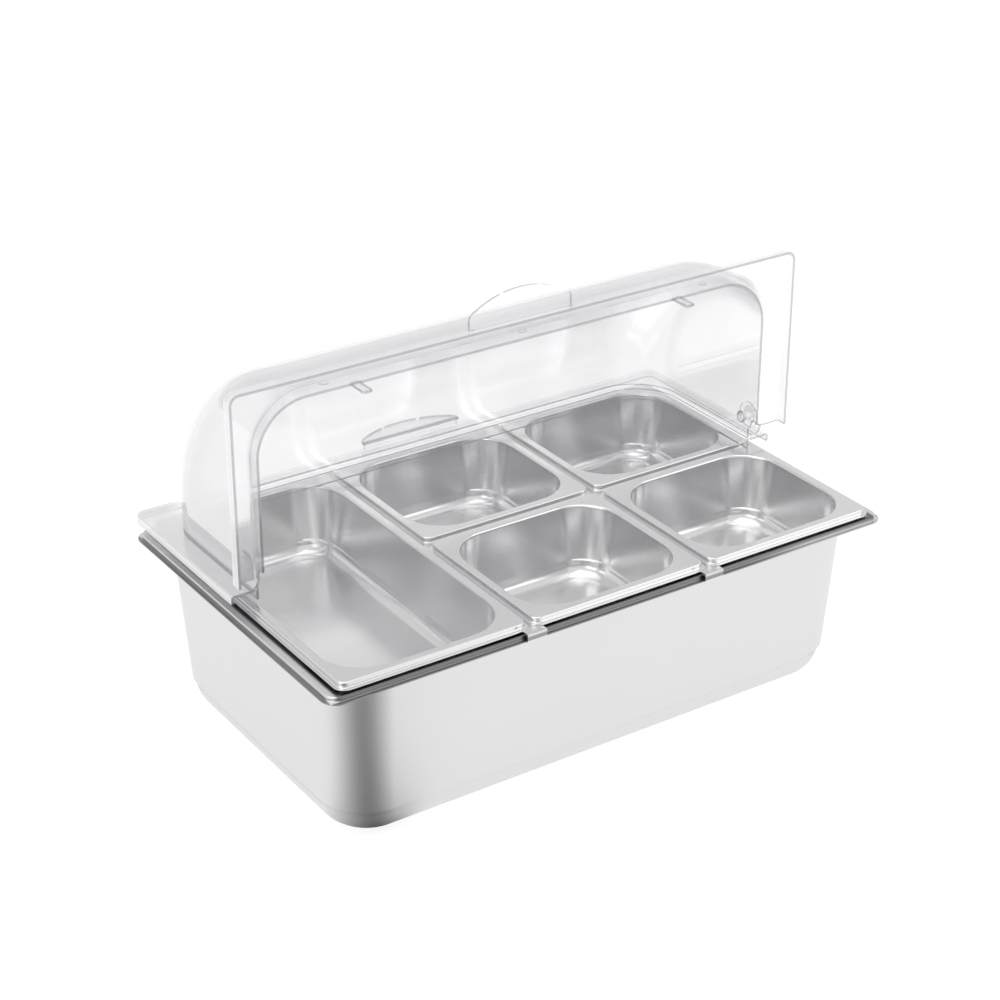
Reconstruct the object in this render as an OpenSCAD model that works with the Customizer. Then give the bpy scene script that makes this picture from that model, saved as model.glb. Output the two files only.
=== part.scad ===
// Chilled garnish tray: a deep steel ice pan, five lift-out insert pans on two divider bars,
// and a clear roll-top cover whose front half turns back over the rear half.
// Origin: centre of the ice pan's underside. X is the length, the front faces -Y, Z is up.
// The front cover is drawn rolled open, which is its rest position.

/* [Ice pan] */
// Length over the rolled lip
pan_len = 551; // [548:0.5:556]
// Depth over the rolled lip
pan_dep = 333; // [331:0.5:338]
// Height from the floor to the flat rim
pan_h = 157.5; // [120:0.5:200]
// Sheet thickness
pan_sheet = 1; // [0.8:0.1:1.5]
// Width of the rim at the two ends, lip edge to opening
rim_end = 14; // [13:0.1:14.5]
// Width of the rim at the front and back, lip edge to opening
rim_side = 11; // [9:0.1:12.5]
// How far the lip stands out below the rim
lip_w = 3.3; // [2:0.1:4.5]
// Height of the rim's turned-down edge
rim_drop = 5; // [4:0.1:8]
// Width of the raised beads on the rim that carry the end inserts
bead_w = 0.9; // [0.6:0.1:1.5]
// Corner radius of the opening
pan_corner = 50; // [35:1:60]
// Corner radius of the floor
floor_corner = 43; // [32:1:48]
// Radius between the walls and the floor
floor_edge = 26; // [10:1:30]
// Lean of the walls, millimetres inward for each millimetre down
pan_lean = 0.07; // [0.03:0.005:0.09]

/* [Insert pans] */
// Width of every insert's place along X
slot_w = 176; // [175:0.1:177]
// Depth of the insert block along Y
block_dep = 324; // [322:0.5:325]
// Gap between neighbouring lips
lip_gap = 0.8; // [0.6:0.1:1.6]
// Depth of an insert, rim to underside
insert_depth = 65; // [40:1:100]
// Sheet thickness of an insert
insert_sheet = 0.8; // [0.6:0.1:1.2]
// Height of an insert's rim above its seat
insert_rise = 5.6; // [4.5:0.1:8]
// How far an insert's lip stands out
insert_lip = 3; // [2:0.1:4]
// Rim width of an insert, lip edge to opening
insert_rim = 11; // [10.5:0.1:14]
// Corner radius of an insert's opening
insert_corner = 38; // [25:1:42]
// Corner radius of an insert's floor
insert_floor_corner = 28; // [20:1:32]
// Radius between an insert's walls and floor
insert_edge = 12; // [6:1:16]
// Lean of an insert's walls
insert_lean = 0.085; // [0.05:0.005:0.12]

/* [Divider bars] */
// Width of a bar
bar_w = 18.4; // [12:0.1:19]
// Thickness of a bar's top on the rim, which sets the height of the inserts
bar_t = 2.2; // [1.5:0.1:3]
// Depth of a bar's two webs inside the ice pan
web_h = 9; // [5:0.5:20]
// Thickness of a web and of an end hook
web_t = 1; // [0.8:0.1:1.5]

/* [Roll-top cover] */
// Outer radius of the rear shell
rear_r = 142.5; // [140:0.5:144]
// Half length of the rear shell
rear_half = 251; // [249.5:0.5:252]
// Wall thickness of both shells
wall = 2.5; // [2:0.1:3]
// Radius between the rear shell's roof and its cheeks
rear_edge = 46; // [25:1:60]
// Radial gap between the nested shells
shell_gap = 5; // [4:0.1:6]
// Gap between the nested cheeks
cheek_gap = 1.5; // [1:0.1:2]
// How far the rear shell runs forward of the hinge axis
rear_lap = 19; // [10:0.5:20]
// How far the front shell runs past the hinge axis
front_lap = 17; // [8:0.5:17]
// Height of the hinge axis above the rims of the inserts
axis_rise = 29.2; // [28:0.1:32]
// Distance of the hinge axis behind the middle of the tray, negative towards the front
axis_y = -2; // [-4:0.5:2]

/* [Cover flanges] */
// Half length of the rear flange
flange_half = 273.4; // [270:0.1:275]
// Reach of the rear flange behind the hinge axis
rear_reach = 168; // [164:0.5:170]
// Reach of the front flange from the hinge axis
front_reach = 161.8; // [158:0.1:168]
// How far the rear flange runs forward of the hinge axis
rear_tail = 7.5; // [4:0.5:9]
// How far the front flange runs past the hinge axis
front_tail = 3.5; // [2:0.1:3.8]
// Height of the rear flange above the rims of the inserts
flange_rise = 9.5; // [9:0.1:10]
// Thickness of a flange
flange_t = 2.4; // [2:0.1:3]
// Thickness of a skirt
skirt_t = 2.2; // [1.8:0.1:3]
// Height of the skirts' lower edge above the rims of the inserts
skirt_clear = 1.7; // [1:0.1:3]
// Corner radius of a flange
flange_corner = 9; // [6:0.5:14]
// Play between the overlapping ends of the two flanges
lap_play = 0.5; // [0.4:0.05:0.6]

/* [Handle tabs] */
// Half width of a tab
tab_half = 50; // [35:1:60]
// Distance from the hinge axis to the middle of a tab's edge
tab_reach = 184; // [178:0.5:190]
// How far the middle of a tab stands beyond its ends
tab_bow = 16; // [10:0.5:18]
// Thickness of a tab
tab_t = 2.5; // [2:0.1:3]
// Gap under a tab, above its flange
tab_rise = 5; // [3:0.5:6]

/* [Hinge] */
// Radius of a hinge pin
pin_r = 4; // [3:0.1:5]
// Radial clearance of the front cover's hinge bores
pin_play = 0.06; // [0.03:0.01:0.1]
// Radius of a pin's head
head_r = 8.3; // [7:0.1:10]
// Thickness of a pin's head
head_t = 2.5; // [1.5:0.1:3]
// Radius of a hinge boss
boss_r = 12; // [10:0.5:14]
// Thickness of a hinge boss
boss_t = 1.5; // [1:0.1:2]
// Radius of a retaining clip
clip_r = 5.8; // [5.5:0.1:9]
// Thickness of a retaining clip
clip_t = 1.8; // [1.5:0.1:3]
// End play of the front cover between the pin's head and the rear cheek
end_play = 0.3; // [0.2:0.05:0.5]

/* [Guides] */
// Distance of the two guide tongues from the middle
tongue_x = 158; // [120:1:190]
// Width of a guide tongue
tongue_w = 8; // [5:0.5:12]
// Length of a guide tongue in front of the rear shell
tongue_len = 14; // [8:0.5:16]
// Thickness of a guide tongue
tongue_t = 3; // [2:0.1:4]
// Distance of the outer spacer studs from the middle
stud_x = 186; // [120:1:195]
// Radius of a spacer stud
stud_r = 3.5; // [2:0.1:5]
// Play over a spacer stud
stud_play = 0.4; // [0.3:0.1:0.8]

/* [Hidden] */
$fn = 96;
hull_fn = 48;
eps = 0.01;
steel = [0.78, 0.78, 0.79];
clear = [0.9, 0.94, 0.97, 0.35];

open_len = pan_len - 2 * rim_end;
open_dep = pan_dep - 2 * rim_side;
lip_corner = 14;
insert_lip_corner = 10;

seat_z = pan_h + bar_t;
rims_z = seat_z + insert_rise;
axis_z = rims_z + axis_rise;
sixth_dep = block_dep / 2;

flange_top = flange_rise - axis_rise;
foot_bottom = -axis_rise;
skirt_bottom = skirt_clear - axis_rise;
front_r = rear_r + shell_gap + wall;
front_half = rear_half + cheek_gap + wall;
front_edge = rear_edge + cheek_gap + wall;
front_flange_half = flange_half + lap_play + skirt_t;
front_flange_bottom = flange_top + lap_play;
front_flange_top = front_flange_bottom + flange_t;
cheek_swing = -front_flange_bottom;

// A flat slab with round corners, centred on the origin, its underside at z = 0
module slab(len, dep, corner, h) {
    linear_extrude(h) rounded(len, dep, corner);
}

// A rectangle with round corners
module rounded(len, dep, corner) {
    square([len - 2 * corner, dep], center = true);
    square([len, dep - 2 * corner], center = true);
    for (x = [-1, 1], y = [-1, 1])
        translate([x * (len / 2 - corner), y * (dep / 2 - corner)]) circle(corner);
}

// A disc whose rim is a half circle, or the part of it that stays outside its axis
module puck(r, edge) {
    rotate_extrude($fn = hull_fn) intersection() {
        translate([r - edge, 0]) circle(edge, $fn = 32);
        translate([0, -edge]) square([r, 2 * edge]);
    }
}

// A solid tub with leaning walls and a rounded floor, its open face at z = 0
module tub(len, dep, h, top_corner, bottom_corner, edge, lean) {
    shift = lean * h;
    hull() {
        for (x = [-1, 1], y = [-1, 1]) {
            translate([x * (len / 2 - top_corner), y * (dep / 2 - top_corner), -eps])
                cylinder(r = top_corner, h = eps, $fn = hull_fn);
            translate([
                x * (len / 2 - shift - bottom_corner),
                y * (dep / 2 - shift - bottom_corner),
                edge - h
            ])
                puck(bottom_corner, edge);
        }
    }
}

// A pressed sheet pan: flat rim with a turned-down edge, a lip and a tub.
// The lip's underside is at z = 0 and the flat rim's top at z = rise.
module pressed_pan(
    len, dep, h, sheet, rise, lip, lip_r, rim_x, rim_y,
    top_corner, bottom_corner, edge, lean
) {
    flat_len = len - 2 * lip;
    flat_dep = dep - 2 * lip;
    flat_r = lip_r - lip;
    inner_len = len - 2 * rim_x;
    inner_dep = dep - 2 * rim_y;
    difference() {
        union() {
            difference() {
                union() {
                    slab(flat_len, flat_dep, flat_r, rise);
                    slab(len, dep, lip_r, sheet);
                }
                translate([0, 0, -1])
                    slab(flat_len - 2 * sheet, flat_dep - 2 * sheet, flat_r - sheet, rise - sheet + 1);
            }
            translate([0, 0, rise]) tub(
                inner_len + 2 * sheet, inner_dep + 2 * sheet, h,
                top_corner + sheet, bottom_corner + sheet, edge + sheet, lean
            );
        }
        translate([0, 0, rise + eps])
            tub(inner_len, inner_dep, h - sheet + eps, top_corner, bottom_corner, edge, lean);
    }
}

module outer_pan() {
    bead_len = open_dep - 2 * pan_corner;
    color(steel) {
        translate([0, 0, pan_h - rim_drop]) pressed_pan(
            pan_len, pan_dep, pan_h, pan_sheet, rim_drop, lip_w, lip_corner,
            rim_end, rim_side, pan_corner, floor_corner, floor_edge, pan_lean
        );
        // Raised beads that carry the outer lips of the end inserts level with the bars
        for (side = [-1, 1])
            translate([side * (open_len / 2 + bead_w / 2 + eps), 0, pan_h + bar_t / 2 - pan_sheet / 2])
                cube([bead_w, bead_len, bar_t + pan_sheet], center = true);
    }
}

// A divider bar across the ice pan: a flat top, two webs and a hook over the rim at each end
module divider_bar(x) {
    rim_play = 0.3;
    hook_in = pan_dep / 2 + rim_play;
    web_len = open_dep - 2 * (rim_play + pan_lean * web_h);
    color(steel) translate([x, 0, pan_h]) {
        translate([-bar_w / 2, -hook_in - web_t, 0]) cube([bar_w, 2 * (hook_in + web_t), bar_t]);
        for (side = [-1, 1]) {
            translate([side * (bar_w - web_t) / 2 - web_t / 2, -web_len / 2, -web_h])
                cube([web_t, web_len, web_h + bar_t / 2]);
            translate([-bar_w / 2, side * (hook_in + web_t / 2) - web_t / 2, -rim_drop])
                cube([bar_w, web_t, rim_drop + bar_t / 2]);
        }
    }
}

// An insert pan whose place in the block is dep deep and centred on x, y
module insert_pan(x, y, dep) {
    color(steel) translate([x, y, seat_z]) pressed_pan(
        slot_w - lip_gap, dep - lip_gap, insert_depth, insert_sheet, insert_rise,
        insert_lip, insert_lip_corner, insert_rim, insert_rim,
        insert_corner, insert_floor_corner, insert_edge, insert_lean
    );
}

// Half of a shell's outline: x runs out from the hinge axis, y lies along it
module arch(half, r, edge) {
    translate([0, -half]) square([r - edge, 2 * half]);
    translate([0, edge - half]) square([r, 2 * (half - edge)]);
    for (side = [-1, 1]) translate([r - edge, side * (half - edge)]) circle(edge);
}

// The wall of a shell's outline
module arch_wall(half, r, edge) {
    difference() {
        arch(half, r, edge);
        translate([-1, 0]) square([2, 2 * (half - wall)], center = true);
        arch(half - wall, r - wall, edge - wall);
    }
}

// A quarter shell behind the hinge axis, run straight on past the axis and down to a foot
module quarter_shell(half, r, edge, lap, foot) {
    rotate([0, 90, 0]) rotate([0, 0, 90]) rotate_extrude(angle = 90) arch_wall(half, r, edge);
    translate([0, -lap, 0]) rotate([0, -90, -90]) linear_extrude(lap) arch_wall(half, r, edge);
    translate([0, 0, -foot]) linear_extrude(foot) rotate(90) arch_wall(half, r, edge);
}

// The outline of a flange: round corners at the far end, square ends at the hinge
module flange_outline(half, reach, tail, corner) {
    translate([-half, -tail]) square([2 * half, reach + tail - corner]);
    translate([corner - half, -tail]) square([2 * (half - corner), reach + tail]);
    for (side = [-1, 1]) translate([side * (half - corner), reach - corner]) circle(corner);
}

// A flange around a shell with its skirt, z measured from the hinge axis
module flange(half, reach, tail, top, shell_half, shell_r, shell_edge) {
    translate([0, 0, top - flange_t]) linear_extrude(flange_t) difference() {
        flange_outline(half, reach, tail, flange_corner);
        rotate(90) arch(shell_half - wall, shell_r - wall, shell_edge - wall);
        translate([wall - shell_half, -tail - 1]) square([2 * (shell_half - wall), tail + 2]);
    }
    translate([0, 0, skirt_bottom]) linear_extrude(top - eps - skirt_bottom) difference() {
        flange_outline(half, reach, tail, flange_corner);
        translate([0, -1]) flange_outline(
            half - skirt_t, reach - skirt_t + 1, tail + 1, flange_corner - skirt_t
        );
    }
}

// A half-moon handle raised a little above its flange
module handle_tab(top, reach) {
    end_reach = tab_reach - tab_bow;
    bow_r = (tab_half * tab_half + tab_bow * tab_bow) / (2 * tab_bow);
    root = reach - 3;
    translate([0, 0, top + tab_rise]) linear_extrude(tab_t) intersection() {
        translate([-tab_half, root - tab_t]) square([2 * tab_half, tab_reach - root + tab_t]);
        union() {
            translate([0, tab_reach - bow_r]) circle(bow_r);
            translate([-tab_half, root - tab_t]) square([2 * tab_half, end_reach - root + tab_t]);
        }
    }
    translate([-tab_half, root - tab_t, top - eps]) cube([2 * tab_half, tab_t, tab_rise + 2 * eps]);
}

// A cylinder along X from x0 to x1 on the hinge axis
module axle(x0, x1, r) {
    translate([min(x0, x1), 0, 0]) rotate([0, 90, 0]) cylinder(r = r, h = abs(x1 - x0));
}

module at_hinge() {
    translate([0, axis_y, axis_z]) children();
}

module rear_cover() {
    roof = rear_r - wall;
    stud_y = -0.7 * rear_lap;
    stud_top = sqrt(pow(rear_r + shell_gap - stud_play, 2) - pow(stud_r - stud_y, 2));
    color(clear) at_hinge() difference() {
        union() {
            quarter_shell(rear_half, rear_r, rear_edge, rear_lap, -foot_bottom);
            for (side = [-1, 1]) {
                // A round lug carries the pin where the cheek's lap ends
                axle(side * rear_half, side * (rear_half - wall), boss_r);
                translate([side * (rear_half - wall / 2) - wall / 2, -rear_tail, foot_bottom])
                    cube([wall, rear_tail + eps, -foot_bottom]);
                translate([side * tongue_x - tongue_w / 2, -rear_lap - tongue_len, roof - tongue_t])
                    cube([tongue_w, 1.5 * tongue_len, tongue_t + wall / 2]);
            }
            flange(flange_half, rear_reach, rear_tail, flange_top, rear_half, rear_r, rear_edge);
            handle_tab(flange_top, rear_reach);
            for (x = [-stud_x, 0, stud_x])
                translate([x, stud_y, roof + wall / 2]) cylinder(r = stud_r, h = stud_top - roof - wall / 2);
        }
        for (side = [-1, 1]) axle(side * (rear_half + 1), side * (rear_half - wall - 1), pin_r);
    }
}

// The front cover in its closed place, turned end for end so that it reaches towards +Y
module front_half() {
    difference() {
        union() {
            quarter_shell(front_half, front_r, front_edge, front_lap, -front_flange_bottom);
            // The cheeks' lower corners are round about the axis, to swing clear of the rear flange
            for (side = [-1, 1]) {
                intersection() {
                    axle(side * front_half, side * (front_half - wall), cheek_swing);
                    translate([side * (front_half - wall / 2) - wall / 2, -front_lap, -cheek_swing])
                        cube([wall, front_lap + eps, cheek_swing + eps]);
                }
                axle(side * (front_half - wall / 2), side * (front_half + boss_t), boss_r);
            }
            flange(
                front_flange_half, front_reach, front_tail, front_flange_top,
                front_half, front_r, front_edge
            );
            handle_tab(front_flange_top, front_reach);
        }
        for (side = [-1, 1])
            axle(side * (front_half + boss_t + 1), side * (front_half - wall - 1), pin_r + pin_play);
    }
}

module front_cover() {
    color(clear) at_hinge() rotate([-90, 0, 0]) mirror([0, 1, 0]) front_half();
}

// A hinge pin: its head stands outside the front cheek, its shank ends inside the clip
module hinge_pin(side) {
    head_in = front_half + boss_t + end_play;
    shank_in = rear_half - wall - clip_t - 0.5;
    color(clear) at_hinge() {
        axle(side * head_in, side * (head_in + head_t), head_r);
        axle(side * shank_in, side * (head_in + head_t / 2), pin_r);
    }
}

// A clip pressed on a pin's end against the inside of the rear cheek
module hinge_clip(side) {
    clip_out = rear_half - wall;
    color(clear) at_hinge() difference() {
        axle(side * clip_out, side * (clip_out - clip_t), clip_r);
        axle(side * (clip_out + 1), side * (clip_out - clip_t - 1), pin_r);
    }
}

outer_pan();
divider_bar(-slot_w / 2);  // divider_bar_left
divider_bar(slot_w / 2);  // divider_bar_right
insert_pan(-slot_w, 0, block_dep);  // third_pan
insert_pan(0, -sixth_dep / 2, sixth_dep);  // sixth_pan_front_left
insert_pan(0, sixth_dep / 2, sixth_dep);  // sixth_pan_back_left
insert_pan(slot_w, -sixth_dep / 2, sixth_dep);  // sixth_pan_front_right
insert_pan(slot_w, sixth_dep / 2, sixth_dep);  // sixth_pan_back_right
rear_cover();
front_cover();
hinge_pin(-1);  // hinge_pin_left
hinge_pin(1);  // hinge_pin_right
hinge_clip(-1);  // hinge_clip_left
hinge_clip(1);  // hinge_clip_right
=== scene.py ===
"""The looks of a chilled garnish tray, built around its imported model.

It is laid out as an add-on with one operator for each piece or group of like pieces, and is run as a script.
Sizes are in millimetres here and in metres in Blender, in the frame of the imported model.
"""

import math

import bmesh
import bpy
from mathutils import Matrix, Vector


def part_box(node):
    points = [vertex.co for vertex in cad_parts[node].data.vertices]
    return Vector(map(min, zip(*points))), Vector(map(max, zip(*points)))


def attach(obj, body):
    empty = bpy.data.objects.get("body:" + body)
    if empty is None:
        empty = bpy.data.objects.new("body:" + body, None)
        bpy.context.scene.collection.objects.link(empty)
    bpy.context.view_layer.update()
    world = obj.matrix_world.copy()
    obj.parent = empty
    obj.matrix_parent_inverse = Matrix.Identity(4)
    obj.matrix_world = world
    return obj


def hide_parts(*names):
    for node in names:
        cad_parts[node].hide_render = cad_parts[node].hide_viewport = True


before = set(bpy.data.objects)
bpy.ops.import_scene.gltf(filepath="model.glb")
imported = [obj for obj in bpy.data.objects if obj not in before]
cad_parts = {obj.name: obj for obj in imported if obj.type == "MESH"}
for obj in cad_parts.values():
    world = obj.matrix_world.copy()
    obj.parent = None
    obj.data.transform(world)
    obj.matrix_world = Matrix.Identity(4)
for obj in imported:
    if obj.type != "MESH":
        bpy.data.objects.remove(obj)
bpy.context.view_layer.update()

bl_info = {
    "name": "Chilled garnish tray",
    "version": (1, 0, 0),
    "blender": (4, 5, 0),
    "location": "View3D > Sidebar > Garnish tray",
    "description": "Builds a steel ice pan with inserts under a clear roll-top cover",
    "category": "Object",
}

MM = 0.001
RIM_TOP = 157.5
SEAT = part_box("divider_bar_left")[1].z / MM
INSERT_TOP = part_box("third_pan")[1].z / MM
HINGE = Vector((0, -2, 194.5))


# ---------------------------------------------------------------- settings


class TrayShape(bpy.types.PropertyGroup):
    """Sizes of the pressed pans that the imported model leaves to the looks."""

    corner_steps: bpy.props.IntProperty(
        name="Corner steps", description="Faces round each corner of a pan", default=16, min=4, max=48
    )
    bend: bpy.props.FloatProperty(
        name="Rim bend", description="Radius of the bend between a wall and its rim, in millimetres", default=2.0
    )
    edge_bend: bpy.props.FloatProperty(
        name="Edge bend", description="Radius of the bend at a rim's outer edge, in millimetres", default=1.3
    )


class CoverShape(bpy.types.PropertyGroup):
    """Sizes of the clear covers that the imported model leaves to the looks."""

    sheet: bpy.props.FloatProperty(
        name="Sheet", description="Thickness of the clear sheet, in millimetres", default=2.4
    )
    fillet: bpy.props.FloatProperty(
        name="Fillet", description="Radius between a shell and its flange, in millimetres", default=4.0
    )
    arch_steps: bpy.props.IntProperty(
        name="Arch steps", description="Faces over a quarter of the roof", default=40, min=8, max=96
    )


class TrayFinish(bpy.types.PropertyGroup):
    """Colours of the tray's finishes."""

    pan_colour: bpy.props.FloatVectorProperty(
        name="Ice pan", description="Colour of the satin ice pan", subtype="COLOR", size=4,
        default=(0.76, 0.76, 0.765, 1), min=0, max=1,
    )
    insert_colour: bpy.props.FloatVectorProperty(
        name="Inserts", description="Colour of the polished inserts", subtype="COLOR", size=4,
        default=(0.80, 0.80, 0.805, 1), min=0, max=1,
    )
    clear_colour: bpy.props.FloatVectorProperty(
        name="Cover", description="Tint of the clear covers", subtype="COLOR", size=4,
        default=(0.97, 0.97, 0.975, 1), min=0, max=1,
    )


# ---------------------------------------------------------------- materials


class Value:
    """A node's output socket that adds Math nodes when it is used in an expression."""

    def __init__(self, paint, socket):
        self.paint = paint
        self.socket = socket

    def maths(self, operation, first, second):
        """One Math node of two values, either of which may be a plain number."""
        return self.paint.node("ShaderNodeMath", {"operation": operation}, {0: first, 1: second})

    def __add__(self, other):
        return self.maths("ADD", self, other)

    def __radd__(self, other):
        return self.maths("ADD", other, self)

    def __sub__(self, other):
        return self.maths("SUBTRACT", self, other)

    def __rsub__(self, other):
        return self.maths("SUBTRACT", other, self)

    def __mul__(self, other):
        return self.maths("MULTIPLY", self, other)

    def __rmul__(self, other):
        return self.maths("MULTIPLY", other, self)

    def __pow__(self, other):
        return self.maths("POWER", self, other)

    def __abs__(self):
        return self.maths("ABSOLUTE", self, 0)


class Paint:
    """A material whose nodes are added one by one and end in a Principled shader."""

    def __init__(self, name, **fixed):
        self.material = bpy.data.materials.new(name)
        self.material.use_nodes = True
        self.tree = self.material.node_tree
        self.shader = next(n for n in self.tree.nodes if n.type == "BSDF_PRINCIPLED")
        for socket, value in fixed.items():
            self.shader.inputs[socket.replace("_", " ")].default_value = value

    def node(self, kind, settings=None, inputs=None, output=0):
        """Adds a node: its settings first, then the values or links of its sockets."""
        made = self.tree.nodes.new(kind)
        for key, value in (settings or {}).items():
            if key == "ramp":
                for stop, (place, colour) in zip(made.color_ramp.elements, value):
                    stop.position = place
                    stop.color = colour
            else:
                setattr(made, key, value)
        for key, value in (inputs or {}).items():
            if isinstance(value, Value):
                self.tree.links.new(value.socket, made.inputs[key])
            else:
                made.inputs[key].default_value = value
        return Value(self, made.outputs[output])

    def feed(self, socket, value):
        """Joins a value to one of the shader's sockets."""
        self.tree.links.new(value.socket, self.shader.inputs[socket])

    def place(self, stretch=(1, 1, 1), turn=(0, 0, 0)):
        """Object coordinates, turned and stretched."""
        spot = self.node("ShaderNodeTexCoord", output="Object")
        return self.node("ShaderNodeMapping", {}, {"Vector": spot, "Rotation": turn, "Scale": stretch})

    def noise(self, spot, scale, detail=2.0, rough=0.5):
        """A noise value from 0 to 1."""
        return self.node(
            "ShaderNodeTexNoise", {}, {"Vector": spot, "Scale": scale, "Detail": detail, "Roughness": rough}
        )

    def mix(self, share, first, second):
        """A colour between two colours."""
        return self.node(
            "ShaderNodeMix", {"data_type": "RGBA"}, {0: share, 6: first, 7: second}, output=2
        )

    def ramp(self, value, start, end, low=0.0, high=1.0):
        """A value that goes softly from low to high between start and end."""
        return self.node("ShaderNodeMapRange", {"interpolation_type": "SMOOTHSTEP"}, {
            "Value": value, "From Min": start, "From Max": end, "To Min": low, "To Max": high,
        })

    def axis(self, letter):
        """One of the object coordinates."""
        spot = self.node("ShaderNodeTexCoord", output="Object")
        return self.node("ShaderNodeSeparateXYZ", {}, {0: spot}, output=letter)

    def height(self):
        """Height above the floor."""
        return self.axis("Z")

    def beyond(self, outline):
        """How far a point lies outside an outline of a given half length and half depth."""
        x, y = abs(self.axis("X")) - outline[0], abs(self.axis("Y")) - outline[1]
        return x.maths("MAXIMUM", x, y)

    def bump(self, height, strength, distance):
        """Bends the surface by a height."""
        self.feed("Normal", self.node(
            "ShaderNodeBump", {}, {"Height": height, "Strength": strength, "Distance": distance}
        ))


def satin_steel(name, colour, rough, spread, grain=(4, 220, 220), rest=None, turned_down=None):
    """Satin-finished sheet steel: fine drawn lines, clouding from handling, small scuffs and water marks.

    rest is the half length, half depth and height of the outline where the inserts rest, along which the rim gets a
    painted shadow, and turned_down that of a rim's turned-down edge, which gets painted shade that weakens towards +X.
    All are in metres.
    """
    paint = Paint(name, Metallic=1.0)
    lines = paint.noise(paint.place(grain), 9.0, 3.0, 0.6)
    clouds = paint.noise(paint.place(), 7.0, 2.0)
    scuffs = paint.noise(paint.place((30, 60, 45), (0.4, 0.2, 0.9)), 6.0, 5.0, 0.7)
    scuffed = paint.ramp(scuffs, 0.62, 0.78)
    paint.feed("Roughness", rough + spread * (lines - 0.5) + spread * (clouds - 0.5) + 0.08 * scuffed)
    darker = tuple(0.9 * c for c in colour[:3]) + (1,)
    tone = paint.mix(0.5 * lines + 0.5 * clouds, darker, colour)
    if rest:
        # Painted shadow: the rim is darkened along the outline where the inserts' lips overhang it
        line = abs(paint.beyond(rest)) + 0.0006 * (scuffs - 0.5)
        shade = paint.ramp(line, 0.0012, 0.0042, 0.85, 0.0) * paint.ramp(paint.height(), rest[2] - 0.004, rest[2])
        tone = paint.mix(shade, tone, (0.07, 0.07, 0.075, 1))
    if turned_down:
        # Painted shade: the turned-down face is darkened, less so towards +X
        below = paint.ramp(paint.height(), turned_down[2] - 0.0031, turned_down[2] - 0.0015, 1.0, 0.1)
        above = paint.ramp(paint.height(), turned_down[2] - 0.0062, turned_down[2] - 0.0056)
        along = paint.ramp(paint.axis("X"), 0.12, 0.2, 0.66, 0.2)
        shade = paint.ramp(paint.beyond(turned_down), -0.0008, 0.0002) * below * above * along
        tone = paint.mix(shade, tone, (0.09, 0.09, 0.095, 1))
    paint.feed("Base Color", tone)
    paint.bump(lines, 0.05, 0.0002)
    return paint.material


def clear_plastic(name, colour, veil, deep, left_gain=0.0):
    """Clear moulded plastic: it shows more of itself the flatter it is seen, with a faint haze where hands wipe it.

    veil is how much of the surface shows when seen square on, deep its colour when seen along the sheet,
    and the last argument how much more of the surface shows at the left end, most of all low down.
    """
    paint = Paint(name, Metallic=0.85, Specular_IOR_Level=0.8)
    wipes = paint.noise(paint.place((3, 40, 40), (0.3, 0.2, 0.5)), 5.0, 4.0, 0.6)
    flow = paint.noise(paint.place((4, 9, 9)), 3.0, 3.0, 0.55)
    flat = paint.node("ShaderNodeLayerWeight", {}, {"Blend": 0.5}, output="Facing")
    paint.feed("Base Color", paint.mix(flat**4, colour, deep))
    paint.feed("Roughness", 0.01 + 0.03 * wipes)
    paint.bump(flow, 0.02, 0.002)
    # More of the surface shows at the left end, most of all low down
    left_extra = paint.ramp(paint.axis("X"), -0.251, -0.225, left_gain, 0.0) * paint.ramp(paint.height(), 0.178, 0.24, 2.0, 1.0)
    share = veil + left_extra + 0.02 * wipes + (0.9 - veil - left_extra) * flat**3
    window = paint.tree.nodes.new("ShaderNodeBsdfTransparent")
    window.inputs["Color"].default_value = (0.994, 0.994, 0.996, 1)
    blend = paint.tree.nodes.new("ShaderNodeMixShader")
    paint.tree.links.new(share.socket, blend.inputs[0])
    paint.tree.links.new(window.outputs[0], blend.inputs[1])
    paint.tree.links.new(paint.shader.outputs[0], blend.inputs[2])
    out = next(n for n in paint.tree.nodes if n.type == "OUTPUT_MATERIAL")
    paint.tree.links.new(blend.outputs[0], out.inputs["Surface"])
    return paint.material


# ---------------------------------------------------------------- mesh helpers


def finished(bm, name, material, body, node):
    """Turns a mesh in millimetres into a piece that rides on a body and stands for a node."""
    bmesh.ops.scale(bm, vec=(MM,) * 3, verts=bm.verts)
    mesh = bpy.data.meshes.new(name)
    bm.to_mesh(mesh)
    bm.free()
    piece = bpy.data.objects.new(name, mesh)
    bpy.context.scene.collection.objects.link(piece)
    mesh.materials.append(material)
    mesh.shade_smooth()
    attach(piece, body)
    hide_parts(node)
    return piece


def modified(piece, kind, **settings):
    """Adds a modifier with its settings."""
    modifier = piece.modifiers.new(kind.title(), kind)
    for key, value in settings.items():
        setattr(modifier, key, value)
    return modifier


def scratch(bm, name="scratch"):
    """A hidden object that holds a mesh for a modifier to work on."""
    mesh = bpy.data.meshes.new(name)
    bm.to_mesh(mesh)
    bm.free()
    helper = bpy.data.objects.new(name, mesh)
    bpy.context.scene.collection.objects.link(helper)
    return helper


def settled(helper, *others):
    """The mesh of an object with its modifiers applied; the helpers are removed."""
    graph = bpy.context.evaluated_depsgraph_get()
    bm = bmesh.new()
    bm.from_object(helper, graph)
    for o in (helper, *others):
        bpy.data.objects.remove(o)
    return bm


def added(bm, other, operation="UNION"):
    """Joins one solid to another, or cuts it away."""
    base, tool = scratch(bm), scratch(other)
    modified(base, "BOOLEAN", object=tool, operation=operation, solver="EXACT")
    return settled(base, tool)


def thickened(bm, thickness):
    """Gives a sheet its thickness on the inner side, and closes it."""
    base = scratch(bm)
    modified(base, "SOLIDIFY", thickness=thickness, offset=-1, use_even_offset=True, use_quality_normals=True)
    return settled(base)


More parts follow.
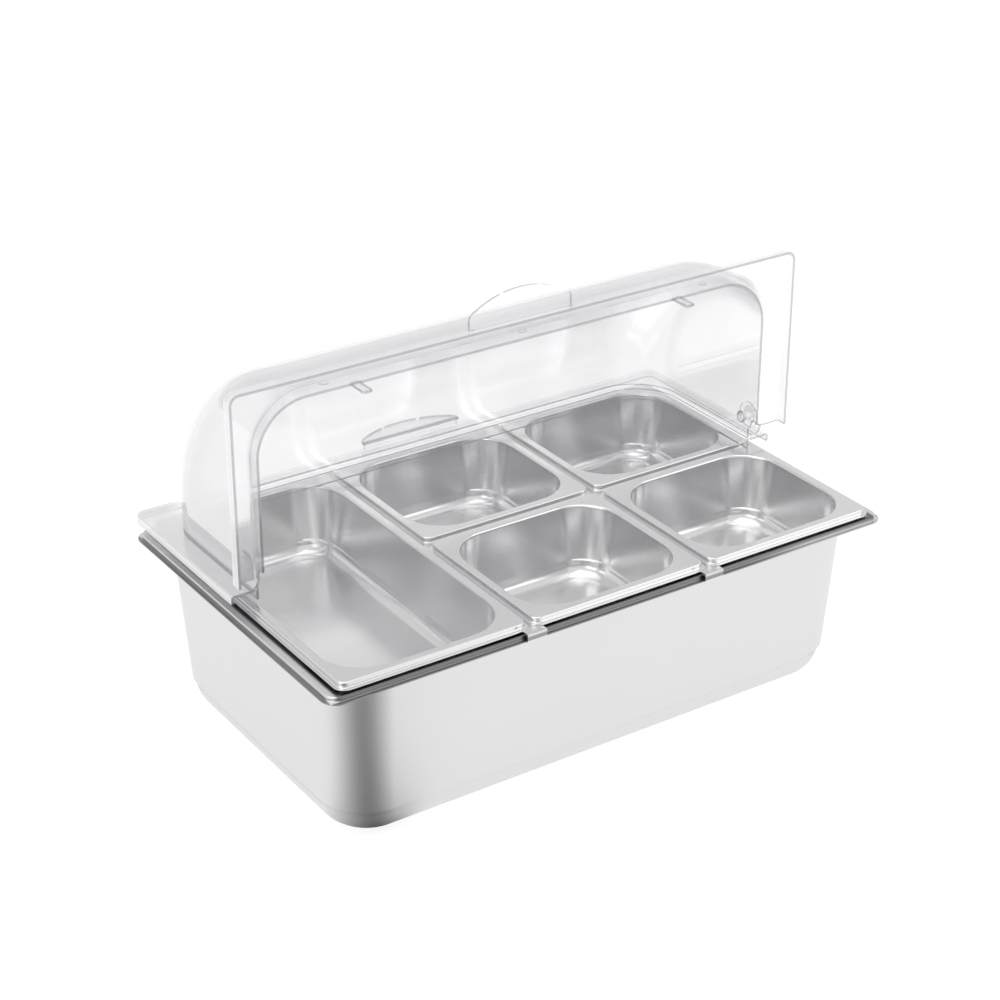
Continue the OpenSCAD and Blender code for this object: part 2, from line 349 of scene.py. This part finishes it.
def slab(bm, half, low, high, corner, steps, upright=False, open_side=False, sides=True):
    """A rectangle from -half to half and from low to high, with round corners.

    It lies flat, or stands in the plane y = 0. With open_side only the two high corners are round,
    and the low edge is left out, and without sides the straight sides too.
    """
    made = bmesh.ops.create_grid(bm, x_segments=1, y_segments=1, size=1)["verts"]
    bmesh.ops.scale(bm, vec=(half, (high - low) / 2, 1), verts=made)
    bmesh.ops.translate(bm, vec=(0, (high + low) / 2, 0), verts=made)
    middle = (high + low) / 2
    keep = [v for v in made if v.co.y < middle] if open_side else []
    rounded = bmesh.ops.bevel(
        bm, geom=[v for v in made if v not in keep], offset=corner, offset_type="OFFSET",
        segments=steps, profile=0.5, affect="VERTICES", material=-1, clamp_overlap=False,
    )
    face = rounded["verts"][0].link_faces[0]
    verts = list(face.verts)
    edges = list(face.edges)
    if upright:
        bmesh.ops.rotate(bm, cent=(0, 0, 0), matrix=Matrix.Rotation(math.pi / 2, 3, "X"), verts=verts)
    if not open_side:
        return face, verts, edges
    low_edge = [e for e in edges if all(v in keep for v in e.verts)]
    gone = low_edge if sides else [e for e in edges if any(v in keep for v in e.verts)]
    bmesh.ops.delete(bm, geom=[face], context="FACES_ONLY")
    bmesh.ops.delete(bm, geom=gone, context="EDGES")
    if not sides:
        bmesh.ops.delete(bm, geom=[v for v in keep if v.is_valid], context="VERTS")
    edges = [e for e in edges if e.is_valid]
    return None, [v for v in verts if v.is_valid], edges


# ---------------------------------------------------------------- pressed pans


def pressed_sheet(levels, place, steps):
    """A pan pressed from sheet: round-cornered levels from the floor to the lip, joined one to the next.

    A level is its half length, half depth, corner radius and height.
    """
    bm = bmesh.new()
    last = None
    for half_x, half_y, corner, z in levels:
        face, verts, edges = slab(bm, half_x, -half_y, half_y, corner, steps)
        bmesh.ops.translate(bm, vec=(place[0], place[1], z), verts=verts)
        if last:
            bmesh.ops.delete(bm, geom=[face], context="FACES_ONLY")
            bmesh.ops.bridge_loops(bm, edges=last + edges)
        last = edges
    bmesh.ops.recalc_face_normals(bm, faces=bm.faces)
    if bm.faces[0].normal.z < 0:
        bmesh.ops.reverse_faces(bm, faces=bm.faces)
    return bm


def turned(start, end, steps):
    """Angles from start to end, both included."""
    return [start + (end - start) * k / steps for k in range(steps + 1)]


def quarter(steps):
    """Angles over a quarter turn, both ends included."""
    return turned(0, math.pi / 2, steps)


def pan_levels(top_half, top, depth, lean, corners, edge, rim, lip, bend, edge_bend, drop, sheet, lip_corner):
    """The levels of a pan's upper and inner face, from the floor out to the edge of its lip."""
    top_corner, floor_corner = corners
    floor_z = top - depth
    low = [h - lean * depth for h in top_half]
    levels = []
    for a in quarter(8):
        inset = edge * (1 - math.sin(a))
        levels.append((low[0] - inset, low[1] - inset, floor_corner - inset, floor_z + edge * (1 - math.cos(a))))
    wall = depth - edge
    for share in (0.02, 0.5, 0.98):
        z = floor_z + edge + share * (wall - bend)
        grow = lean * (z - floor_z)
        levels.append((low[0] + grow, low[1] + grow, floor_corner + share * (top_corner - floor_corner), z))
    for a in quarter(5):
        out = bend * (1 - math.cos(a))
        levels.append((top_half[0] + out, top_half[1] + out, top_corner + out, top - bend * (1 - math.sin(a))))
    flat = (top_half[0] + rim[0] - lip, top_half[1] + rim[1] - lip)
    corner = lip_corner - lip
    for a in quarter(5):
        back = edge_bend * (1 - math.sin(a))
        levels.append((flat[0] - back, flat[1] - back, corner - back, top - edge_bend * (1 - math.cos(a))))
    seat = top - drop + sheet
    flare = 0.8
    for a in quarter(4):
        out = flare * (1 - math.cos(a))
        levels.append((flat[0] + out, flat[1] + out, corner + out, seat + flare * (1 - math.sin(a))))
    levels.append((flat[0] + lip, flat[1] + lip, lip_corner, seat))
    return levels


def finish_sheet(piece, sheet):
    """Thickness, soft edges and even shading for a pressed pan."""
    modified(piece, "SOLIDIFY", thickness=sheet * MM, offset=-1, use_even_offset=True)
    modified(piece, "BEVEL", width=0.2 * MM, segments=2, limit_method="ANGLE", angle_limit=math.radians(50))
    modified(piece, "WEIGHTED_NORMAL", keep_sharp=True)


class GARNISH_OT_ice_pan(bpy.types.Operator):
    """The deep satin steel pan that holds the ice"""

    bl_idname = "garnish.ice_pan"
    bl_label = "Ice pan"

    def execute(self, context):
        shape, finish = context.scene.tray_shape, context.scene.tray_finish
        levels = pan_levels(
            (261.5, 155.5), RIM_TOP, RIM_TOP - 1, 0.07, (50, 43), 26, (14, 11), 3.3,
            shape.bend, shape.edge_bend, 5, 1, 14,
        )
        bm = pressed_sheet(levels, (0, 0), shape.corner_steps)
        # The pan's rim gets a painted shadow where the inserts rest and painted shade on its turned-down edge
        steel = satin_steel("satin_steel", finish.pan_colour, 0.33, 0.10, rest=(0.2636, 0.1616, 0.157),
                            turned_down=(0.2722, 0.1632, 0.1575))
        piece = finished(bm, "ice_pan", steel, "tray", "outer_pan")
        finish_sheet(piece, 1)
        for side, name in ((-1, "left"), (1, "right")):
            ends = sorted((side * 261.5, side * 262.4))
            rest = eased(box((ends[0], -105.5, RIM_TOP - 0.4), (ends[1], 105.5, SEAT)), 0.3, 3)
            shaded(finished(rest, "end_rest_" + name, steel, "tray", "outer_pan"))
        return {"FINISHED"}


INSERTS = {
    "third_pan": ("insert_third", (-176, 0), 324),
    "sixth_pan_front_left": ("insert_front_left", (0, -81), 162),
    "sixth_pan_back_left": ("insert_back_left", (0, 81), 162),
    "sixth_pan_front_right": ("insert_front_right", (176, -81), 162),
    "sixth_pan_back_right": ("insert_back_right", (176, 81), 162),
}


class GARNISH_OT_inserts(bpy.types.Operator):
    """The five lift-out insert pans"""

    bl_idname = "garnish.inserts"
    bl_label = "Insert pans"

    def execute(self, context):
        shape, finish = context.scene.tray_shape, context.scene.tray_finish
        steel = satin_steel("bright_steel", finish.insert_colour, 0.2, 0.06)
        for node, (body, place, depth) in INSERTS.items():
            levels = pan_levels(
                ((175.2 / 2) - 11, (depth - 0.8) / 2 - 11), INSERT_TOP, 64.2, 0.085, (38, 28), 12, (11, 11), 3,
                shape.bend, shape.edge_bend, INSERT_TOP - SEAT, 0.8, 10,
            )
            bm = pressed_sheet(levels, place, shape.corner_steps)
            piece = finished(bm, node + "_pressing", steel, body, node)
            finish_sheet(piece, 0.8)
        return {"FINISHED"}


def box(low, high):
    """A solid block."""
    bm = bmesh.new()
    made = bmesh.ops.create_cube(bm, size=1)["verts"]
    low, high = Vector(low), Vector(high)
    bmesh.ops.scale(bm, vec=high - low, verts=made)
    bmesh.ops.translate(bm, vec=(high + low) / 2, verts=made)
    return bm


def eased(bm, width, segments=2):
    """Rounds every sharp edge of a solid."""
    sharp = [e for e in bm.edges if e.is_manifold and e.calc_face_angle() > math.radians(35)]
    bmesh.ops.bevel(
        bm, geom=sharp, offset=width, offset_type="OFFSET", segments=segments, profile=0.5,
        affect="EDGES", material=-1, clamp_overlap=True,
    )
    return bm


def merged(*parts):
    """Puts several solids in one mesh."""
    bm = bmesh.new()
    for part in parts:
        mesh = bpy.data.meshes.new("part")
        part.to_mesh(mesh)
        part.free()
        bm.from_mesh(mesh)
        bpy.data.meshes.remove(mesh)
    return bm


class GARNISH_OT_divider_bars(bpy.types.Operator):
    """The two bars across the ice pan that carry the inserts"""

    bl_idname = "garnish.divider_bars"
    bl_label = "Divider bars"

    def execute(self, context):
        # The bars' turned-down ends get the same painted shade as the pan's edge
        steel = satin_steel(
            "bar_satin_steel", context.scene.tray_finish.pan_colour, 0.28, 0.08, (220, 4, 220),
            turned_down=(1, 0.1640, 0.1599),
        )
        for side, x in (("left", -88), ("right", 88)):
            bm = box((x - 9.2, -167.8, RIM_TOP), (x + 9.2, 167.8, SEAT))
            for end in (-1, 1):
                ys = sorted((end * 166.8, end * 167.8))
                bm = added(bm, box((x - 9.2, ys[0], RIM_TOP - 5), (x + 9.2, ys[1], RIM_TOP + 1)))
                xs = sorted((x + end * 9.2, x + end * 8.2))
                bm = added(bm, box((xs[0], -155.2, RIM_TOP - 9), (xs[1], 155.2, RIM_TOP + 1)))
            node = "divider_bar_" + side
            piece = finished(eased(bm, 0.35), node + "_folding", steel, "bar_" + side, node)
            modified(piece, "WEIGHTED_NORMAL", keep_sharp=True)
        return {"FINISHED"}


# ---------------------------------------------------------------- clear covers


def cover_sheet(half, roof, corner, lap, tail, top, cheek_foot, flange, skirt_low, shape):
    """A cover's outer face about its hinge: a quarter shell, run on to its mouth and its flange.

    It reaches towards +Y. cheek_foot is the outline of a cheek's foot from the flange to the mouth.
    """
    steps = 14
    bm = bmesh.new()
    low = top + shape.fillet
    _, verts, edges = slab(bm, half, 0, roof, corner, steps, upright=True, open_side=True, sides=False)
    start = verts + edges
    swept = bmesh.ops.spin(
        bm, geom=start, cent=(0, 0, 0), axis=(1, 0, 0), angle=-math.pi / 2, steps=shape.arch_steps, use_merge=False
    )["geom_last"]
    down = bmesh.ops.extrude_edge_only(bm, edges=[g for g in swept if isinstance(g, bmesh.types.BMEdge)])["geom"]
    bmesh.ops.translate(bm, vec=(0, 0, low), verts=[g for g in down if isinstance(g, bmesh.types.BMVert)])
    front = bmesh.ops.extrude_edge_only(bm, edges=edges)["geom"]
    bmesh.ops.translate(bm, vec=(0, -lap, 0), verts=[g for g in front if isinstance(g, bmesh.types.BMVert)])
    bmesh.ops.remove_doubles(bm, verts=bm.verts, dist=0.001)
    for side in (-1, 1):
        chain = [v for v in bm.verts if abs(v.co.x - side * half) < 0.001]
        chain.sort(key=lambda v: (-v.co.z if v.co.y < 0.001 else 1000 + v.co.y - v.co.z, v.co.y))
        chain.sort(key=lambda v: math.atan2(v.co.y + lap + 1, v.co.z - low + 0.01))
        foot = [bm.verts.new((side * half, y, z)) for y, z in cheek_foot]
        bm.faces.new(chain + foot)
    outer_half, reach, flange_corner = flange
    bend = 1.6
    loops = []
    for a in quarter(5):
        out = shape.fillet * (1 - math.cos(a))
        loops.append((half + out, roof + out, corner + out, low - shape.fillet * math.sin(a)))
    for a in quarter(5):
        back = bend * (1 - math.sin(a))
        loops.append((outer_half - back, reach - back, flange_corner - back, top - bend * (1 - math.cos(a))))
    loops.append((outer_half, reach, flange_corner, skirt_low))
    last = None
    for loop_half, high, loop_corner, z in loops:
        _, verts, edges = slab(bm, loop_half, -tail, high, loop_corner, steps, open_side=True)
        bmesh.ops.translate(bm, vec=(0, 0, z), verts=verts)
        if last:
            bmesh.ops.bridge_loops(bm, edges=last + edges)
        last = edges
    bmesh.ops.remove_doubles(bm, verts=bm.verts, dist=0.001)
    bmesh.ops.recalc_face_normals(bm, faces=bm.faces)
    roof_face = max(bm.faces, key=lambda f: f.calc_center_median().z)
    if roof_face.normal.z < 0:
        bmesh.ops.reverse_faces(bm, faces=bm.faces)
    return bm


def disc(x0, x1, radius, steps=48, ease=0.0):
    """A round solid along the hinge axis."""
    bm = bmesh.new()
    bmesh.ops.create_cone(
        bm, cap_ends=True, segments=steps, radius1=radius, radius2=radius, depth=abs(x1 - x0)
    )
    bmesh.ops.rotate(bm, cent=(0, 0, 0), matrix=Matrix.Rotation(math.pi / 2, 3, "Y"), verts=bm.verts)
    bmesh.ops.translate(bm, vec=((x0 + x1) / 2, 0, 0), verts=bm.verts)
    return eased(bm, ease, 3) if ease else bm


def half_moon(root, end, half, bow, low, thick):
    """A raised handle: a half-moon plate on a riser."""
    radius = (half * half + bow * bow) / (2 * bow)
    bm = bmesh.new()
    bmesh.ops.create_circle(bm, cap_ends=True, segments=160, radius=radius)
    bmesh.ops.translate(bm, vec=(0, end - radius, low), verts=bm.verts)
    for place, normal in (((half, 0, 0), (1, 0, 0)), ((-half, 0, 0), (-1, 0, 0)), ((0, root, 0), (0, -1, 0))):
        geom = bm.verts[:] + bm.edges[:] + bm.faces[:]
        bmesh.ops.bisect_plane(bm, geom=geom, plane_co=place, plane_no=normal, clear_outer=True)
    corners = [v for v in bm.verts if abs(abs(v.co.x) - half) < 0.001 and v.co.y > root + 1]
    bmesh.ops.bevel(
        bm, geom=corners, offset=3.5, offset_type="OFFSET", segments=6, profile=0.5,
        affect="VERTICES", material=-1, clamp_overlap=False,
    )
    grown = bmesh.ops.extrude_face_region(bm, geom=bm.faces[:])["geom"]
    bmesh.ops.translate(bm, vec=(0, 0, thick), verts=[g for g in grown if isinstance(g, bmesh.types.BMVert)])
    bmesh.ops.recalc_face_normals(bm, faces=bm.faces)
    return eased(bm, 0.6)


def cover_solid(half, roof, corner, lap, tail, top, cheek_foot, flange, skirt_low, shape, reach, boss, bore):
    """A cover with its sheet, handle, bosses and bores, about its hinge."""
    sheet = cover_sheet(half, roof, corner, lap, tail, top, cheek_foot, flange, skirt_low, shape)
    bm = thickened(sheet, shape.sheet)
    root = reach - 3 - 2.5
    bm = added(bm, half_moon(root, 184, 50, 16, top + 5, 2.5))
    bm = added(bm, eased(box((-48.5, root + 0.3, top - 1), (48.5, root + 2.8, top + 6.5)), 0.4))
    for side in (-1, 1) if boss else ():
        bm = added(bm, disc(side * boss[0], side * boss[1], 12))
    for side in (-1, 1):
        bm = added(bm, disc(side * 240, side * 262, bore, 64), "DIFFERENCE")
    return bm


def shaded(piece, angle=30):
    """Smooth shading that keeps real edges sharp."""
    piece.data.set_sharp_from_angle(angle=math.radians(angle))
    modified(piece, "WEIGHTED_NORMAL", keep_sharp=True)


def rimmed(piece, edge_material, widest, marked=lambda place: False):
    """Gives the narrow cut edges of a sheet their own finish, and faces at the marked places too."""
    mesh = piece.data
    mesh.materials.append(edge_material)
    bm = bmesh.new()
    bm.from_mesh(mesh)
    for face in bm.faces:
        around = sum(e.calc_length() for e in face.edges)
        width = 2 * face.calc_area() / around / MM
        sharp = sum(e.calc_length() for e in face.edges if e.is_manifold and e.calc_face_angle() > 0.35)
        if 0.55 < width < widest and sharp > 0.25 * around or marked(face.calc_center_median() / MM):
            face.material_index = 1
    bm.to_mesh(mesh)
    bm.free()


class GARNISH_OT_rear_cover(bpy.types.Operator):
    """The fixed clear half of the roll-top, with its guides and studs"""

    bl_idname = "garnish.rear_cover"
    bl_label = "Rear cover"

    def execute(self, context):
        shape = context.scene.cover_shape
        top = 9.5 - 29.2
        lug = [(-7.5, top + shape.fillet)]
        lug += [(-12 * math.sin(a), -12 * math.cos(a)) for a in turned(math.asin(7.5 / 12), math.pi / 2, 8)]
        lug.append((-19, 0))
        bm = cover_solid(
            251, 142.5, 46, 19, 7.5, top, lug, (273.4, 168, 9), 1.7 - 29.2, shape, 168, None, 4.0,
        )
        foot = bmesh.new()
        _, verts, edges = slab(foot, 250.95, -7.5, 142.45, 45.95, 14, open_side=True)
        bmesh.ops.translate(foot, vec=(0, 0, -29.2), verts=verts)
        grown = bmesh.ops.extrude_edge_only(foot, edges=edges)["geom"]
        bmesh.ops.translate(foot, vec=(0, 0, 10.5), verts=[g for g in grown if isinstance(g, bmesh.types.BMVert)])
        bmesh.ops.recalc_face_normals(foot, faces=foot.faces)
        back = max(foot.faces, key=lambda f: f.calc_center_median().y)
        if back.normal.y < 0:
            bmesh.ops.reverse_faces(foot, faces=foot.faces)
        bm = added(bm, thickened(foot, 2.3))
        for side in (-1, 1):
            bm = added(bm, eased(box((side * 158 - 4, -33, 137.2), (side * 158 + 4, -12, 140.4)), 0.4))
        for x in (-186, 0, 186):
            stud = disc(0, 6, 3.5, 32, 0.5)
            bmesh.ops.rotate(stud, cent=(0, 0, 0), matrix=Matrix.Rotation(-math.pi / 2, 3, "Y"), verts=stud.verts)
            bmesh.ops.translate(stud, vec=(x, -13.3, 140.1), verts=stud.verts)
            bm = added(bm, stud)
        bmesh.ops.translate(bm, vec=HINGE, verts=bm.verts)
        tint = context.scene.tray_finish.clear_colour
        clear = clear_plastic("clear_plastic", tint, 0.05, (0.80, 0.80, 0.82, 1), 0.28)
        cut = clear_plastic("clear_plastic_edge", (0.28, 0.28, 0.31, 1), 0.48, (0.45, 0.45, 0.48, 1))
        piece = finished(bm, "rear_shell", clear, "roll_top", "rear_cover")
        rimmed(piece, cut, 2.6, lambda place: place.z > HINGE.z + 145.6 and any(
            2.6 < math.hypot(place.x - x, place.y - HINGE.y + 13.3) < 3.6 for x in (-186, 0, 186)
        ))
        shaded(piece)
        return {"FINISHED"}


class GARNISH_OT_front_cover(bpy.types.Operator):
    """The clear half of the roll-top that turns back, shown open"""

    bl_idname = "garnish.front_cover"
    bl_label = "Front cover"

    def execute(self, context):
        shape = context.scene.cover_shape
        top = 9.5 - 29.2 + 0.5 + 2.4
        swing = 19.2
        sweep = turned(math.asin(3.5 / swing), math.asin(17 / swing), 8)
        foot = [(-3.5, top + shape.fillet)] + [(-swing * math.sin(a), -swing * math.cos(a)) for a in sweep]
        bm = cover_solid(
            255, 150, 50, 17, 3.5, top, foot, (276.1, 161.8, 9), 1.7 - 29.2, shape, 161.8, (254, 256.5), 4.06,
        )
        swap = Matrix.Translation(HINGE) @ Matrix.Rotation(-math.pi / 2, 4, "X") @ Matrix.Scale(-1, 4, (0, 1, 0))
        bmesh.ops.transform(bm, matrix=swap, verts=bm.verts)
        bmesh.ops.recalc_face_normals(bm, faces=bm.faces)
        clear = bpy.data.materials["clear_plastic"]
        piece = finished(bm, "front_shell", clear, "roll_front", "front_cover")
        rimmed(piece, bpy.data.materials["clear_plastic_edge"], 2.6)
        shaded(piece)
        return {"FINISHED"}


class GARNISH_OT_hinge(bpy.types.Operator):
    """The two hinge pins and their clips"""

    bl_idname = "garnish.hinge"
    bl_label = "Hinge pins and clips"

    def execute(self, context):
        clear = clear_plastic("hinge_plastic", (0.93, 0.93, 0.94, 1), 0.36, (0.6, 0.6, 0.62, 1))
        for side, name in ((-1, "left"), (1, "right")):
            pin = added(disc(side * 256.8, side * 259.3, 8.3, 48, 0.7), disc(side * 246.2, side * 258, 3.97, 48, 0.3))
            bmesh.ops.translate(pin, vec=HINGE, verts=pin.verts)
            pin = finished(pin, "pin_" + name, clear, "roll_top", "hinge_pin_" + name)
            rimmed(pin, bpy.data.materials["clear_plastic_edge"], 2.6)
            shaded(pin)
            clip = disc(side * 248.45, side * 246.7, 5.8, 48, 0.4)
            clip = added(clip, disc(side * 240, side * 250, 4.03, 48), "DIFFERENCE")
            bmesh.ops.translate(clip, vec=HINGE, verts=clip.verts)
            clip = finished(clip, "clip_" + name, clear, "roll_top", "hinge_clip_" + name)
            rimmed(clip, bpy.data.materials["clear_plastic_edge"], 2.6)
            shaded(clip)
        return {"FINISHED"}


# ---------------------------------------------------------------- stage


class GARNISH_OT_stage(bpy.types.Operator):
    """The pale floor, the studio light and the camera"""

    bl_idname = "garnish.stage"
    bl_label = "Stage"

    def execute(self, context):
        scene = context.scene
        scene.view_settings.view_transform = "Standard"
        scene.cycles.max_bounces = 32
        scene.cycles.glossy_bounces = 16
        scene.cycles.transmission_bounces = 32
        scene.cycles.transparent_max_bounces = 32
        bm = bmesh.new()
        bmesh.ops.create_grid(bm, x_segments=1, y_segments=1, size=12)
        mesh = bpy.data.meshes.new("floor")
        bm.to_mesh(mesh)
        bm.free()
        floor = bpy.data.objects.new("floor", mesh)
        scene.collection.objects.link(floor)
        floor.location.z = -0.0002
        paint = Paint("floor_paint", Base_Color=(0.25, 0.25, 0.25, 1), Roughness=0.9)
        white = paint.node("ShaderNodeLightPath", output="Is Camera Ray")
        white = white.maths("MAXIMUM", white, paint.node("ShaderNodeLightPath", output="Is Transmission Ray"))
        mirrored = paint.node("ShaderNodeLightPath", output="Is Glossy Ray")
        # Metal shows a white floor with a darker aisle that runs out from the tray's front left corner
        spot = paint.node("ShaderNodeTexCoord", output="Object")
        spot = paint.node("ShaderNodeMapping", {}, {"Vector": spot, "Location": (0.19, 0.09, 0)})
        out, side = (
            paint.node("ShaderNodeVectorMath", {"operation": "DOT_PRODUCT"}, {0: spot, 1: way}, output="Value")
            for way in ((-0.555, -0.832, 0), (0.832, -0.555, 0))
        )
        turn = paint.node("ShaderNodeMath", {"operation": "ARCTAN2"}, {0: side, 1: out})
        lit = paint.ramp(abs(turn), 0.0, 1.08, 0.0, 0.86)
        paint.shader.inputs["Emission Color"].default_value = (1, 1, 1, 1)
        paint.feed("Emission Strength", 0.85 * white + mirrored * lit)
        mesh.materials.append(paint.material)

        world = bpy.data.worlds.new("studio")
        scene.world = world
        world.use_nodes = True
        tree = world.node_tree
        sky = tree.nodes["Background"]
        rays = tree.nodes.new("ShaderNodeLightPath")
        mirrored = tree.nodes.new("ShaderNodeMapRange")
        mirrored.inputs["To Min"].default_value = 0.73
        mirrored.inputs["To Max"].default_value = 0.85
        tree.links.new(rays.outputs["Is Glossy Ray"], mirrored.inputs["Value"])
        level = tree.nodes.new("ShaderNodeMapRange")
        level.inputs["To Max"].default_value = 1.0
        tree.links.new(mirrored.outputs[0], level.inputs["To Min"])
        tree.links.new(rays.outputs["Is Camera Ray"], level.inputs["Value"])
        sky.inputs["Color"].default_value = (1, 1, 1, 1)
        tree.links.new(level.outputs[0], sky.inputs["Strength"])

        for name, place, size, power in (
            ("top_box", (-0.2, -0.1, 1.6), (1.6, 1.2), 6),
            ("left_box", (-1.6, -0.6, 0.8), (1.2, 1.0), 4),
            ("right_box", (1.3, -1.5, 0.9), (1.2, 1.0), 4),
        ):
            data = bpy.data.lights.new(name, "AREA")
            data.shape = "RECTANGLE"
            data.size, data.size_y = size
            data.energy = power
            lamp = bpy.data.objects.new(name, data)
            lamp.location = place
            lamp.rotation_mode = "QUATERNION"
            lamp.rotation_quaternion = (Vector((0, 0, 0.12)) - Vector(place)).to_track_quat("-Z", "Y")
            scene.collection.objects.link(lamp)

        camera = bpy.data.objects.new("camera", bpy.data.cameras.new("camera"))
        scene.collection.objects.link(camera)
        azimuth, elevation = math.radians(-33.7), math.radians(27)
        back = Vector((
            math.sin(azimuth) * math.cos(elevation), -math.cos(azimuth) * math.cos(elevation), math.sin(elevation)
        ))
        camera.rotation_mode = "QUATERNION"
        camera.rotation_quaternion = (-back).to_track_quat("-Z", "Y")
        camera.location = (-1.0017, -1.4847, 1.0920)
        camera.data.sensor_width = 36
        camera.data.lens = 85.18
        scene.camera = camera
        return {"FINISHED"}


class GARNISH_PT_panel(bpy.types.Panel):
    """Lists the tray's sizes, finishes and pieces"""

    bl_label = "Garnish tray"
    bl_idname = "GARNISH_PT_panel"
    bl_space_type = "VIEW_3D"
    bl_region_type = "UI"
    bl_category = "Garnish tray"

    def draw(self, context):
        for group in (context.scene.tray_shape, context.scene.cover_shape, context.scene.tray_finish):
            for name in group.__annotations__:
                self.layout.prop(group, name)
        for operator in OPERATORS:
            self.layout.operator(operator.bl_idname)


GROUPS = {"tray_shape": TrayShape, "cover_shape": CoverShape, "tray_finish": TrayFinish}
OPERATORS = (
    GARNISH_OT_stage, GARNISH_OT_ice_pan, GARNISH_OT_divider_bars, GARNISH_OT_inserts,
    GARNISH_OT_rear_cover, GARNISH_OT_front_cover, GARNISH_OT_hinge,
)


def register():
    for cls in (*GROUPS.values(), *OPERATORS, GARNISH_PT_panel):
        bpy.utils.register_class(cls)
    for name, group in GROUPS.items():
        setattr(bpy.types.Scene, name, bpy.props.PointerProperty(type=group))


def unregister():
    for name in GROUPS:
        delattr(bpy.types.Scene, name)
    for cls in (GARNISH_PT_panel, *reversed(OPERATORS), *GROUPS.values()):
        bpy.utils.unregister_class(cls)


def main():
    """Builds every piece in order."""
    register()
    for operator in OPERATORS:
        group, name = operator.bl_idname.split(".")
        getattr(getattr(bpy.ops, group), name)()


if __name__ == "__main__":
    main()
